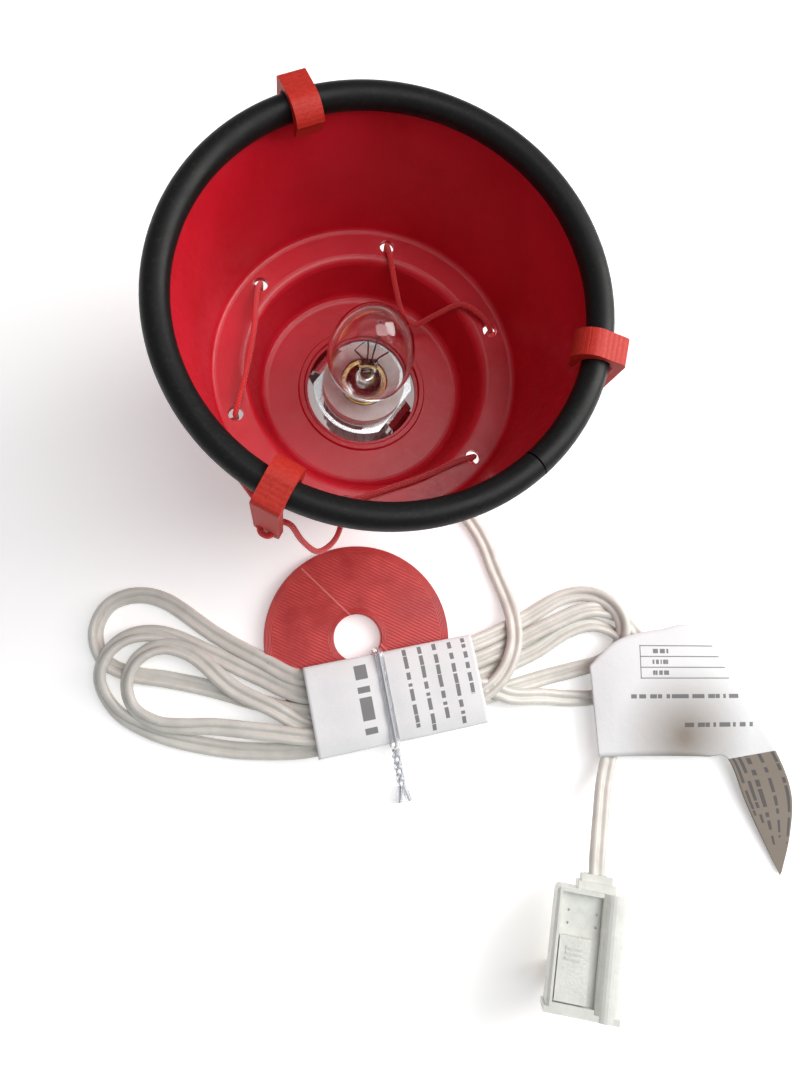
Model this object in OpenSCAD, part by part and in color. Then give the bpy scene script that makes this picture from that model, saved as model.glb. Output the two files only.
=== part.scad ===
// Small red warming bowl with a clear lamp, three rim hooks on an elastic lace,
// a hanked flat lead, a loose spacer ring and a fused plug. Millimetres, +Z up,
// origin on the bowl's axis at the plane it stands on.

/* [Bowl] */
// Height of the bowl wall's top edge
rim_h = 91.8; // [85:0.1:98]
// Radius of the rim tube's centre line
rim_r = 49.2; // [47:0.1:54]
// Thickness of the moulded walls
wall = 1.8; // [1.2:0.1:2.4]
// Height of the ledge's upper face
ledge_h = 47; // [44:0.5:50]
// Radius of the wall's middle at the ledge
ledge_r = 42.4; // [41:0.1:44]
// Height of the floor's upper face
floor_h = 32; // [30:0.5:33]
// Radius of the well's inner wall at the ledge
well_r = 31.6; // [30.5:0.1:33]
// Radius of the foot's outer face at the bottom
foot_r = 30; // [29:0.1:31]
// Radius of the lamp hole in the floor
lamp_hole_r = 15.7; // [15.6:0.05:16.5]

/* [Rim tube] */
// Outer radius of the rim tube
tube_r = 3.2; // [2.8:0.05:3.5]
// Inner radius of the rim tube
tube_bore_r = 1.7; // [1.4:0.05:2]

/* [Lace and hooks] */
// Radius of the circle of lace holes
lace_r = 37.3; // [36.5:0.1:38.5]
// Radius of each lace hole
lace_hole_r = 2; // [1.6:0.1:2.4]
// Radius of the elastic lace
lace_cord_r = 0.75; // [0.6:0.05:0.9]
// Width of a hook
hook_w = 6.6; // [6:0.1:8]
// Thickness of a hook's strap
hook_t = 2; // [1.6:0.1:2.4]

/* [Lamp] */
// Height of the socket rim's upper face
socket_top = 38.5; // [37:0.5:40]
// Radius of the socket's rim
socket_r = 11.5; // [11:0.1:12]
// Height of the tip of the lamp's glass
glass_top = 77.6; // [74:0.1:80]
// Largest radius of the lamp's glass
glass_r = 11.3; // [10.5:0.1:11.6]

/* [Lead and plug] */
// Width of the flat lead
lead_w = 5.2; // [5:0.1:5.4]
// Thickness of the flat lead
lead_t = 2.6; // [2.4:0.1:2.8]
// Outer radius of the spacer ring
ring_r = 28.75; // [27:0.25:29]
// Radius of the spacer ring's hole
ring_hole_r = 7.35; // [7:0.05:8]
// Length of the plug body
plug_l = 32.4; // [31:0.2:35]
// Width of the plug body
plug_w = 20; // [19.6:0.2:22]
// Thickness of the plug body
plug_t = 11; // [10:0.5:12]

/* [Hidden] */

$fn = 96;
slop = 0.05;
red = "crimson";
white = "whitesmoke";

wall_slope = (rim_r - ledge_r) / (rim_h - 0.8 - ledge_h);
tube_h = rim_h - 0.8;
foot_t = 2;
lip_r = 17.5;
lip_h = 0.8;
notch_az = -40;
notch_w = 9;
notch_h = 6;
tube_joint_az = 312;
lace_az0 = 21.7;
hook_az = [113.5, -11.7, 243];
// The two lace holes on either side of each hook
hook_holes = [[81.7, 141.7], [-38.3, 21.7], [201.7, 261.7]];

// Hook profile, radius from the bowl's axis and height
hook_gap = 0.7;
hook_low = 67;
hook_eye_h = 71;
hook_eye_d = 1.7;

// Socket and lamp
body_r = 10.4;
rim_t = 4;
socket_low = 12;
base_low = 5;
shell_r = 6.6;
shell_bore_r = 6.1;
base_r = 5.95;
base_top = 39.2;
tip_h = 22.2;
wing_az = -36;
cord_exit_h = 7;

// Hank: centre, direction and half length of its wrapped middle
hank_mid = [13.4, -88];
hank_az = 11.4;
hank_half = 26.3;
ring_mid = [1.8, -70.4];
ring_low = 1;
ring_t = 3;
hank_low = 4.5;
hank_high = 9.8;
wrap_v = 14.2;
wrap_t = 0.3;
wrap_gap = 0.05;

// Plug: it leans on one blade's tip, held up and turned a little by the stiff lead
plug_at = [69.8, -143.4];
plug_yaw = -10.3;
plug_pitch = 5;
plug_roll = 14;
blade_gap = 12.7;
blade_l = 15.9;
blade_w = 6.35;
blade_t = 1.5;
blade_y = 6;
plug_lift = 15.05;
door_travel = 11;

function polar(r, a, z) = [r * cos(a), r * sin(a), z];
function mix(a, b, t) = a + (b - a) * t;
function arc(cx, cz, r, a0, a1, n) =
    [for (i = [0:n]) let (a = mix(a0, a1, i / n)) [cx + r * cos(a), cz + r * sin(a)]];
function bezier(a, b, c, d, n) =
    [for (i = [0:n]) let (t = i / n, s = 1 - t)
        a * s * s * s + b * 3 * s * s * t + c * 3 * s * t * t + d * t * t * t];
function rev(list) = [for (i = [len(list) - 1:-1:0]) list[i]];
function unit(v) = v / norm(v);

// A smooth curve through the points, k steps to each stretch
function through(p, k) = concat(
    [for (i = [0:len(p) - 2], j = [0:k - 1])
        let (a = p[max(i - 1, 0)], b = p[i], c = p[i + 1], d = p[min(i + 2, len(p) - 1)],
             t = j / k)
        0.5 * (2 * b + (c - a) * t + (2 * a - 5 * b + 4 * c - d) * t * t
               + (3 * b - a - 3 * c + d) * t * t * t)],
    [p[len(p) - 1]]);

function tangents(p) = let (n = len(p))
    [for (i = [0:n - 1]) unit(p[min(i + 1, n - 1)] - p[max(i - 1, 0)])];

// Carries the side direction along the path with no twist
function carried(t, v, i = 0) = let (w = unit(v - t[i] * (v * t[i])))
    i == len(t) - 1 ? [w] : concat([w], carried(t, w, i + 1));

// One closed tube with an oval section, ra across and rb along the side direction
module sweep(path, ra, rb, side, sides = 8) {
    t = tangents(path);
    s = carried(t, side);
    n = len(path);
    rings = [for (i = [0:n - 1], k = [0:sides - 1])
        let (a = 360 * (k + 0.5) / sides, u = cross(t[i], s[i]))
        path[i] + s[i] * rb * cos(a) + u * ra * sin(a)];
    walls = [for (i = [0:n - 2], k = [0:sides - 1])
        let (m = (k + 1) % sides)
        each [[i * sides + k, i * sides + m, (i + 1) * sides + m],
              [i * sides + k, (i + 1) * sides + m, (i + 1) * sides + k]]];
    first = [[for (k = [sides - 1:-1:0]) k]];
    last = [[for (k = [0:sides - 1]) (n - 1) * sides + k]];
    polyhedron(points = rings, faces = concat(first, walls, last), convexity = 6);
}

// A bent strip: the middle line given, thickness t, width w along Z
module strip(line, t, w) {
    n = len(line);
    dir = [for (i = [0:n - 1]) unit(line[min(i + 1, n - 1)] - line[max(i - 1, 0)])];
    side = [for (d = dir) [-d[1], d[0]] * t / 2];
    translate([0, 0, -w / 2])
        linear_extrude(height = w)
            polygon(concat([for (i = [0:n - 1]) line[i] + side[i]],
                           rev([for (i = [0:n - 1]) line[i] - side[i]])));
}

// ---------- bowl ----------

wall_foot = [ledge_r - wall / 2, ledge_h];
wall_top = [rim_r + 0.8 * wall_slope - wall / 2, rim_h];

module bowl_profile() {
    inner = concat(
        [wall_top + [wall / 2, 0], wall_top],
        arc(wall_foot[0] - 1.4, ledge_h + 1.6, 1.6, -12, -90, 4),
        arc(well_r + 2.6, ledge_h - 2.6, 2.6, 90, 176, 6),
        arc(foot_r - foot_t - 1.2, floor_h + 2.5, 2.5, -2, -90, 5),
        [[lip_r + 0.9, floor_h], [lip_r + 0.5, floor_h + lip_h],
         [lip_r - 0.7, floor_h + lip_h], [lip_r - 1.1, floor_h],
         [lamp_hole_r, floor_h], [lamp_hole_r, floor_h - foot_t],
         [foot_r - foot_t, floor_h - foot_t], [foot_r - foot_t, 0.4],
         [foot_r - foot_t + 0.4, 0]]);
    outer = concat(
        arc(foot_r - 0.8, 0.8, 0.8, -90, 0, 3),
        [[well_r + 1.6, ledge_h - foot_t - 1.4], [well_r + 2.6, ledge_h - foot_t]],
        arc(wall_foot[0] + 0.2, ledge_h - 0.4, 1.6, -90, -13, 4),
        [wall_top + [wall, 0]]);
    polygon(concat(inner, outer));
}

module bowl_shell() color(red) difference() {
    rotate_extrude() bowl_profile();
    for (k = [0:5]) rotate(lace_az0 + 60 * k)
        translate([lace_r, 0, ledge_h - 5]) cylinder(r = lace_hole_r, h = 8, $fn = 32);
    rotate(notch_az) translate([foot_r - 5, 0, 0]) {
        translate([0, -notch_w / 2, -1]) cube([10, notch_w, notch_h - 2]);
        translate([0, 0, notch_h - notch_w / 2 + 1.5]) rotate([0, 90, 0])
            cylinder(r = notch_w / 2, h = 10, $fn = 32);
    }
}

module rim_tube() color("black") difference() {
    rotate_extrude() difference() {
        translate([rim_r, tube_h]) circle(r = tube_r, $fn = 48);
        translate([rim_r, tube_h]) circle(r = tube_bore_r, $fn = 32);
        polygon([[wall_foot[0] - slop, ledge_h], [wall_top[0] - slop, rim_h],
                 [wall_top[0] + wall + slop, rim_h], [wall_foot[0] + wall + slop, ledge_h]]);
    }
    rotate(tube_joint_az) translate([rim_r - 5, -0.2, tube_h - 5]) cube([10, 0.4, 10]);
}

// ---------- hooks and lace ----------

// Section through a hook, its strap bent over the rim tube
module hook_profile() {
    r0 = tube_r + hook_gap;
    cz = tube_h - 0.4;
    inner_arc = rev(arc(rim_r, cz, r0, 0, 180, 14));
    outer = concat([[rim_r - r0 - hook_t, cz]],
                   arc(rim_r - 1.4, cz + 0.3, r0 + hook_t - 0.8, 168, 84, 7),
                   arc(rim_r + r0 + hook_t - 1.3, cz + r0 - 1.1, 1.4, 70, 6, 4));
    polygon(concat(
        [[rim_r + r0 + hook_t + 0.2, hook_low], [rim_r + r0 + 0.2, hook_low],
         [rim_r + r0, cz]],
        rev(inner_arc),
        [[rim_r - r0 - 0.3, tube_h - 3.6], [rim_r - r0 - 1.3, tube_h - 3.6]],
        outer));
}

module hook(az) color(red) rotate(az) difference() {
    intersection() {
        rotate([90, 0, 0]) translate([0, 0, -hook_w / 2])
            linear_extrude(height = hook_w) hook_profile();
        // Rounds the corners of the outer leg and tapers the inner one
        translate([rim_r - 10, 0, 0]) rotate([90, 0, 90]) linear_extrude(height = 20) {
            translate([-hook_w / 2, hook_low + 2]) square([hook_w, 30]);
            translate([-hook_w / 2 + 2, hook_low]) square([hook_w - 4, 4]);
            for (s = [-1, 1]) translate([s * (hook_w / 2 - 2), hook_low + 2]) circle(r = 2, $fn = 32);
        }
    }
    for (s = [-1, 1]) translate([rim_r, s * hook_eye_d, hook_eye_h]) rotate([0, 90, 0])
        cylinder(r = lace_cord_r + 0.3, h = 20, $fn = 24);
}

module hook_1() hook(hook_az[0]);
module hook_2() hook(hook_az[1]);
module hook_3() hook(hook_az[2]);

// Ways down from a hook's eye to a lace hole: share of the turn, radius and height
strand_end = [[1, 41.4, 42.6], [1, 37.8, 42.4], [1, lace_r, 44.6]];
strand_slack = concat([[0.07, rim_r + 3, 71], [0.24, 51.2, 68.6], [0.45, 52.6, 62],
    [0.68, 53, 55], [0.84, 50.2, 50], [0.95, 46.4, 45.8]], strand_end);
strand_close = concat([[0.07, rim_r + 2.4, 71], [0.2, 49.6, 69], [0.4, 47.4, 63],
    [0.65, 46.5, 56], [0.84, 46.2, 50], [0.95, 45.4, 45.6]], strand_end);

// Strand from the eye of the hook at azimuth az to the lace hole at azimuth h
function strand(az, h, s, shape) = let (eye_r = rim_r + 4.4)
    concat([polar(norm([eye_r, hook_eye_d]), az + s * asin(hook_eye_d / eye_r), hook_eye_h)],
           [for (p = shape) polar(p[1], az + (h - az) * p[0], p[2])]);

module lace_outer(k) color(red) {
    az = hook_az[k];
    left = strand(az, hook_holes[k][0], -1, k == 2 ? strand_close : strand_slack);
    right = strand(az, hook_holes[k][1], 1, strand_slack);
    bend = [for (s = [-1, 1]) [[rim_r + 5.8, s * hook_eye_d], [rim_r + 7, s * hook_eye_d / 2]]];
    turned = [for (p = [bend[0][0], bend[0][1], bend[1][1], bend[1][0]])
        polar(norm(p), az + atan2(p[1], p[0]), hook_eye_h)];
    sweep(concat(through(rev(left), 2), turned, through(right, 2)),
          lace_cord_r, lace_cord_r, [0, 0, 1]);
}

module lace_outer_1() lace_outer(0);
module lace_outer_2() lace_outer(1);
module lace_outer_3() lace_outer(2);

// Strands inside the bowl, each from one lace hole to the next
hole_drop = 45.2;
inner_routes = [
    [polar(lace_r, 141.7, hole_drop), polar(lace_r, 141.7, 47.4), [-30, 19, 49.4],
     [-30.4, 8, 51], [-32, -3, 50.4], [-33.8, -11, 49],
     polar(lace_r, 201.7, 47.4), polar(lace_r, 201.7, hole_drop)],
    [polar(lace_r, 81.7, hole_drop), polar(lace_r, 81.7, 47.4), [6.2, 32.4, 48.8],
     [8.2, 26, 44.6], [11, 20.6, 39.4], [15, 18.6, 37.6], [20, 19.6, 42.4], [26, 20, 49.2],
     [31.6, 17, 49.4], polar(lace_r, 21.7, 47.4), polar(lace_r, 21.7, hole_drop)],
    [polar(lace_r, 321.7, hole_drop), polar(lace_r, 321.7, 47.4), [24, -25.2, 48.6],
     [15, -29.6, 48.6], [3, -34.2, 48.6],
     polar(lace_r, 261.7, 47.4), polar(lace_r, 261.7, hole_drop)]];

module lace_inner(k) color(red)
    sweep(through(inner_routes[k], 2), lace_cord_r, lace_cord_r, [1, 0, 0]);

module lace_inner_1() lace_inner(0);
module lace_inner_2() lace_inner(1);
module lace_inner_3() lace_inner(2);

// ---------- socket ----------

module socket_body() color(white) difference() {
    union() {
        translate([0, 0, socket_low]) cylinder(r = body_r - 0.5, h = socket_top - socket_low);
        translate([0, 0, socket_top - rim_t]) cylinder(r = socket_r, h = rim_t);
        for (k = [0:23]) rotate(15 * k) translate([body_r - 1, -0.6, socket_low])
            cube([1, 1.2, socket_top - socket_low - rim_t]);
    }
    translate([0, 0, 19]) cylinder(r = shell_r + 0.4, h = 30);
    translate([0, 0, socket_low - 1]) cylinder(r = 3.2, h = 10, $fn = 48);
}

module socket_base() color(white) difference() {
    union() {
        translate([0, 0, base_low]) cylinder(r = 9, h = socket_low - base_low);
        rotate(notch_az) translate([0, -lead_w / 2 - 1.3, base_low])
            cube([10.5, lead_w + 2.6, lead_t + 3]);
    }
    translate([0, 0, base_low + 1.5]) cylinder(r = 6, h = 9);
    rotate(notch_az) translate([3, -lead_w / 2 - 0.1, cord_exit_h - lead_t / 2 - 0.1])
        cube([10, lead_w + 0.2, lead_t + 0.2]);
}

module screw_shell() color("goldenrod") difference() {
    rotate_extrude() polygon(concat(
        [[shell_bore_r, 20.6], [shell_bore_r, 38]],
        [[shell_r, 38]],
        [for (i = [0:9]) each [[shell_r, 36.4 - 1.6 * i], [shell_r + 0.3, 35.8 - 1.6 * i],
                               [shell_r, 35.2 - 1.6 * i]]],
        [[shell_r, 20.6]]));
}

module centre_contact() color("goldenrod") {
    translate([0, 0, 19]) cylinder(r = 5, h = 0.4);
    translate([0, 0, 19.4]) cylinder(r = 2.2, h = tip_h - 0.3 - 19.4, $fn = 32);
}

module spring_clip() color("silver") {
    low = socket_top - rim_t - 0.55;
    rotate(wing_az) {
        difference() {
            intersection() {
                translate([0, 0, low]) cylinder(r = 14, h = 0.5);
                translate([-11.6, -20, 0]) cube([23.2, 40, 50]);
            }
            translate([0, 0, low - 1]) cylinder(r = body_r + 0.1, h = 3);
            for (s = [0, 180]) rotate(s + 90) translate([0, 0, low - 1]) intersection() {
                difference() {
                    cylinder(r = 13, h = 3);
                    translate([0, 0, -1]) cylinder(r = socket_r + 0.3, h = 5);
                }
                translate([5, -7.4, 0]) cube([20, 14.8, 3]);
            }
        }
        for (s = [0, 180]) rotate(s) rotate([90, 0, 0])
            strip([[11.35, low + 0.25], [12.4, low - 0.1], [14, low - 1.5], [14.4, 31.6],
                   [14.4, 29.4], [16.6, 27.2], [14.6, 22.5], [12.9, 19.5]], 0.45, 9);
    }
}

// ---------- lamp ----------

function glass_curve(d) = concat(
    bezier([5.2 - d, base_top + 0.1], [5.6 - d, 43.4], [glass_r - d, 47.2], [glass_r - d, 57.4], 12),
    bezier([glass_r - d, 57.4], [glass_r - d, 67.2], [7.4 - d, glass_top - d],
           [0.01, glass_top - d], 12));

module bulb_glass() color("lightcyan", 0.35) rotate_extrude()
    polygon(concat([[5.2, 35.5]], glass_curve(0), rev(glass_curve(0.6)), [[4.6, 35.5]]));

module bulb_stem() color("lightcyan", 0.5) {
    rotate_extrude($fn = 48) polygon(concat([[0, 38.8], [4.5, 38.8]],
        bezier([4.5, 39.3], [3, 40.5], [2.1, 43], [1.9, 48], 6), [[0, 48]]));
    translate([-2.4, -0.9, 48]) cube([4.8, 1.8, 5]);
}

wire_r = 0.22;
wire_tips = [[-4.4, 0, 60.5], [4.4, 0, 60.5]];
prop_tips = [[-1.2, 1.8, 63], [1.2, 2.2, 65]];

module bulb_wires() color("dimgray") {
    for (k = [0, 1]) let (s = 2 * k - 1) {
        sweep(through([[s * 1.7, 0, 53], [s * 2.2, 0, 56], wire_tips[k]], 2),
              wire_r, wire_r, [0, 1, 0], 6);
        sweep([[s * 0.6, 0, 53], [s * 0.7, 0.6, 57], prop_tips[k]],
              wire_r, wire_r, [0, 1, 0], 6);
    }
}

// A coiled filament, held between the wires and over the two props
module bulb_filament() color("gray") sweep(
    through([wire_tips[0] + [0, 0, 0.35], [-2.9, 0.9, 62.4], prop_tips[0] + [0, 0, 0.35],
             [0, 2.1, 63.6], prop_tips[1] + [0, 0, 0.35], [3, 1.2, 62.6],
             wire_tips[1] + [0, 0, 0.35]], 3), 0.12, 0.12, [0, 1, 0], 6);

module bulb_base() color("goldenrod") rotate_extrude() {
    polygon(concat(
        [[5.28, 26.8], [5.28, base_top], [base_r, base_top], [base_r, base_top - 1.6]],
        [for (i = [0:3]) each [[base_r - 0.5, base_top - 2.6 - 2.54 * i],
                               [base_r, base_top - 3.9 - 2.54 * i]]],
        [[base_r - 0.4, 27.4], [base_r - 0.6, 26.8]]));
}

module bulb_insulator() color("black") rotate_extrude()
    polygon([[0, 23.7], [2.6, 23.7], [5.2, 26.75], [5.2, 28.4], [0, 28.4]]);

module bulb_tip() color("silver") rotate_extrude($fn = 48)
    polygon(concat([[0, 23.65], [2, 23.65]], arc(0, 23.5, 1.9, 0, -40, 3), [[0, tip_h]]));

// ---------- lead ----------

// Where the lead leaves the socket, runs out of the foot and curls into the hank
lead_route = [polar(8, notch_az, cord_exit_h), polar(13, notch_az, 6.4), polar(18, notch_az, 5),
    polar(23, notch_az, 3.5), polar(28, notch_az, 2.4), [26, -21, 1.7], [32, -25, 1.4], [38, -31, 1.4], [43, -39, 1.4], [46.5, -48, 1.4],
    [49.5, -57, 1.8], [51, -66, 4.6], [51, -71, 5.4]];

// From the hank's right end round under the tag and up to the plug
tail_route = [[86, -62.5, 4.6], [92, -66, 2.2], [95, -72.5, 1.5], [95, -80, 1.4], [92, -89, 1.4],
    [86.8, -98, 2], [81.9, -106.7, 4.6], [77.8, -114.9, 9.2], [74.7, -123, 14],
    [72.4, -129.7, 17.4], [71, -134.3, 19.3], [70, -140, 20.4], [69.4, -143.5, 20.7]];

module cord_lead() color(white) sweep(through(lead_route, 2), lead_t / 2, lead_w / 2,
    [sin(notch_az), -cos(notch_az), 0]);

module cord_tail() color(white) sweep(through(tail_route, 2), lead_t / 2, lead_w / 2,
    [1, 0.5, 0]);

module at_hank() translate(hank_mid) rotate(hank_az) children();

module blob(discs) hull() for (d = discs) translate([d[0], d[1]]) circle(r = d[2], $fn = 32);

module cord_hank() color(white) {
    at_hank() translate([-hank_half - 4, 0, 0]) rotate([90, 0, 90])
        linear_extrude(height = 2 * hank_half + 10) bundle_outline(0);
    difference() {
        union() {
            linear_extrude(height = 6.8) blob([[-65, -68, 13.4], [-60, -84, 16.6], [-9, -92, 11.8]]);
            linear_extrude(height = 6.8) blob([[78, -67, 13.4], [80, -78, 13.2], [42, -81, 11]]);
        }
        translate([ring_mid[0], ring_mid[1], -1]) cylinder(r = ring_r + 0.4, h = 20);
        at_hank() translate([-hank_half - 0.2, -30, -1]) cube([2 * hank_half + 0.4, 60, 20]);
    }
}

module label_wrap() color("white") at_hank() translate([-hank_half, 0, 0])
    rotate([90, 0, 90]) linear_extrude(height = 2 * hank_half) difference() {
        bundle_outline(wrap_gap + wrap_t);
        bundle_outline(wrap_gap);
    }

// Section across the bundled runs, grown outwards by t
module bundle_outline(t) {
    half = (hank_high - hank_low) / 2;
    mid = (hank_high + hank_low) / 2;
    for (s = [-1, 1]) translate([s * (wrap_v - half), mid]) circle(r = half + t, $fn = 32);
    translate([half - wrap_v, mid - half - t]) square([2 * (wrap_v - half), 2 * (half + t)]);
}

tie_v = 15.4;
tie_w = 2.6;
tie_t = 0.6;
tie_u = -3;

module twist_tie() color("gainsboro") at_hank() {
    translate([tie_u - tie_w / 2, 0, 0]) rotate([90, 0, 90]) linear_extrude(height = tie_w)
        difference() {
            translate([-tie_v - tie_t, 0.1]) square([2 * (tie_v + tie_t), 10.8]);
            translate([-tie_v, 0.1 + tie_t]) square([2 * tie_v, 9.6]);
        }
    translate([tie_u, -tie_v - 0.5, 4.6]) rotate([98, 0, 0])
        linear_extrude(height = 17, twist = 720, slices = 12) square([2.2, 1], center = true);
}

module spacer_ring() color("firebrick") translate([ring_mid[0], ring_mid[1], ring_low])
    rotate_extrude() polygon([[ring_hole_r, 0.2], [ring_hole_r + 0.2, 0], [ring_r - 0.4, 0],
        [ring_r, 0.4], [ring_r, ring_t - 0.3], [ring_r - 0.3, ring_t],
        [ring_hole_r + 0.2, ring_t], [ring_hole_r, ring_t - 0.2]]);

// Paper tag, given by its two long edges from the lead outwards
tag_upper = [[75, -79, 8], [84, -71, 9.2], [98, -67.4, 9.2], [112, -67.2, 9], [126, -88, 7.6],
    [138, -106, 5.5], [144, -120, 3], [143, -133, 2], [139.8, -144.5, 1]];
tag_lower = [[77.4, -107, 6.8], [84, -107, 7], [94, -107, 7], [104, -107.2, 6.6], [114, -107.6, 6],
    [121.5, -108.5, 5], [127.5, -122, 3.2], [133, -133.5, 2], [139.2, -145.6, 0.9]];
tag_t = 0.3;

module care_tag() color("white") {
    up = through(tag_upper, 2);
    low = through(tag_lower, 2);
    n = len(up);
    m = 3;
    grid = [for (i = [0:n - 1], j = [0:m]) mix(up[i], low[i], j / m)];
    both = concat(grid, [for (p = grid) p + [0, 0, tag_t]]);
    top = n * (m + 1);
    skin = [for (i = [0:n - 2], j = [0:m - 1]) let (a = i * (m + 1) + j, b = a + m + 1)
        each [[a, b, b + 1], [a, b + 1, a + 1],
              [top + a, top + b + 1, top + b], [top + a, top + a + 1, top + b + 1]]];
    ends = [for (j = [0:m - 1]) let (b = (n - 1) * (m + 1) + j)
        each [[j, j + 1, top + j + 1], [j, top + j + 1, top + j],
              [b, top + b + 1, b + 1], [b, top + b, top + b + 1]]];
    rims = [for (i = [0:n - 2]) let (a = i * (m + 1), b = a + m + 1, c = a + m, d = b + m)
        each [[a, top + b, b], [a, top + a, top + b], [c, d, top + d], [c, top + d, top + c]]];
    polyhedron(points = both, faces = concat(skin, ends, rims), convexity = 4);
}

// ---------- plug ----------

// The plug's own place: X across, Y from the lead end at 0 to the far end at -plug_l
module at_plug() translate([plug_at[0], plug_at[1], plug_lift]) rotate(plug_yaw)
    rotate([-plug_pitch, 0, 0]) rotate([0, -plug_roll, 0]) translate([-plug_w / 2, 0, 0])
        children();

recess_x = 1.5;
recess_w = 11.4;
recess_d = 2;
recess_y = 2.8 - plug_l;
recess_l = plug_l - 2.8 - 1.2;
door_x = recess_x + 0.4;
door_w = 8.6;
door_l = recess_l - door_travel - 0.8;
dimple_x = [3.6, 11.4];
dimple_y = [-6, -9.4];
dimple_r = 0.4;
fuse_r = 1.8;
fuse_x = [4.1, 8.3];
fuse_y = recess_y + 1.8;
fuse_l = 10;
pocket_w = 3.9;
rib_r = 3.7;
corner_r = 1.6;
lip_l = 1.6;
lip_out = 0.6;
neck_x = plug_w / 2 + 1;
neck_w = [10.4, 8.6];
neck_l = [2.2, 4.2];

// Section across the plug: a flat face for the door and a round rib on the right
module plug_section() polygon(concat(
    [[0.8, 0], [0, 0.8], [0, plug_t - 0.8], [0.8, plug_t], [recess_x + recess_w, plug_t]],
    rev(arc(plug_w - rib_r, plug_t - rib_r + 0.6, rib_r, -8, 155, 12)),
    [[plug_w, 0.8], [plug_w - 0.8, 0]]));

module plug_body() color(white) at_plug() difference() {
    union() {
        intersection() {
            rotate([90, 0, 0]) linear_extrude(height = plug_l) plug_section();
            linear_extrude(height = 20) {
                translate([0, -plug_l]) square([plug_w, plug_l - corner_r]);
                translate([corner_r, -plug_l]) square([plug_w - 2 * corner_r, plug_l]);
                for (x = [corner_r, plug_w - corner_r])
                    translate([x, -corner_r]) circle(r = corner_r, $fn = 32);
            }
        }
        translate([-lip_out, -plug_l, 0.4]) cube([plug_w + lip_out, lip_l, plug_t - 0.4]);
        translate([neck_x - neck_w[0] / 2, -1, 1.7]) cube([neck_w[0], neck_l[0] + 1, plug_t - 3.4]);
        translate([neck_x - neck_w[1] / 2, 1, 2.8]) cube([neck_w[1], neck_l[1] - 1, plug_t - 5.6]);
    }
    translate([recess_x, recess_y, plug_t - recess_d]) cube([recess_w, recess_l, 5]);
    for (x = dimple_x, y = dimple_y)
        translate([x, y, plug_t - recess_d - 0.5]) cylinder(r = dimple_r, h = 1, $fn = 12);
    for (x = fuse_x) translate([x - pocket_w / 2, recess_y + 0.6, plug_t - 6.4])
        cube([pocket_w, 12.8, 6]);
    translate([neck_x - lead_w / 2 - 0.1, -4, plug_t / 2 - lead_t / 2 - 0.1])
        cube([lead_w + 0.2, 20, lead_t + 0.2]);
    for (s = [-1, 1]) translate([plug_w / 2 + s * blade_gap / 2 - blade_t / 2 - slop,
                                 blade_y - plug_l - blade_w / 2 - slop, -1])
        cube([blade_t + 2 * slop, blade_w + 2 * slop, 4]);
}

module blade(s) color("goldenrod") at_plug()
    translate([plug_w / 2 + s * blade_gap / 2, blade_y - plug_l, 0])
        rotate([0, 90, 0]) translate([0, 0, -blade_t / 2]) difference() {
            linear_extrude(height = blade_t) {
                translate([-2.9, -blade_w / 2]) square([blade_l + 0.9, blade_w]);
                polygon([[blade_l - 2.01, -blade_w / 2], [blade_l, -blade_w / 2 + 1.6],
                         [blade_l, blade_w / 2], [blade_l - 2.01, blade_w / 2]]);
            }
            translate([11.9, 0, -1]) cylinder(r = 1.6, h = 4, $fn = 32);
        }

module blade_left() blade(-1);
module blade_right() blade(1);

module fuse_door() color(white) at_plug() {
    translate([door_x, recess_y + 0.4, plug_t - recess_d + 0.35])
        cube([door_w, door_l, recess_d - 0.75]);
    for (i = [0:2]) translate([door_x + 2, recess_y + door_l - 2.6 - 1.4 * i, plug_t - 0.41])
        cube([door_w - 4, 0.6, 0.3]);
}

module fuses() color("lightcyan", 0.6) at_plug()
    for (x = fuse_x) translate([x, fuse_y, plug_t - 4.3]) rotate([-90, 0, 0])
        cylinder(r = fuse_r, h = fuse_l, $fn = 32);

module fuse_contacts() color("goldenrod") at_plug()
    for (x = fuse_x, y = [recess_y + 1.2, fuse_y + fuse_l + 0.1])
        translate([x - 1.7, y, plug_t - 6.35]) cube([3.4, 0.5, 3.9]);

bowl_shell();
rim_tube();
socket_body();
socket_base();
screw_shell();
centre_contact();
spring_clip();
lace_inner_1();
lace_inner_2();
lace_inner_3();
hook_1();
hook_2();
hook_3();
lace_outer_1();
lace_outer_2();
lace_outer_3();
bulb_glass();
bulb_stem();
bulb_wires();
bulb_filament();
bulb_base();
bulb_insulator();
bulb_tip();
cord_lead();
cord_hank();
cord_tail();
label_wrap();
twist_tie();
care_tag();
spacer_ring();
plug_body();
blade_left();
blade_right();
fuse_door();
fuses();
fuse_contacts();
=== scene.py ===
import math

import bpy
from mathutils import Matrix, Vector


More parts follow.
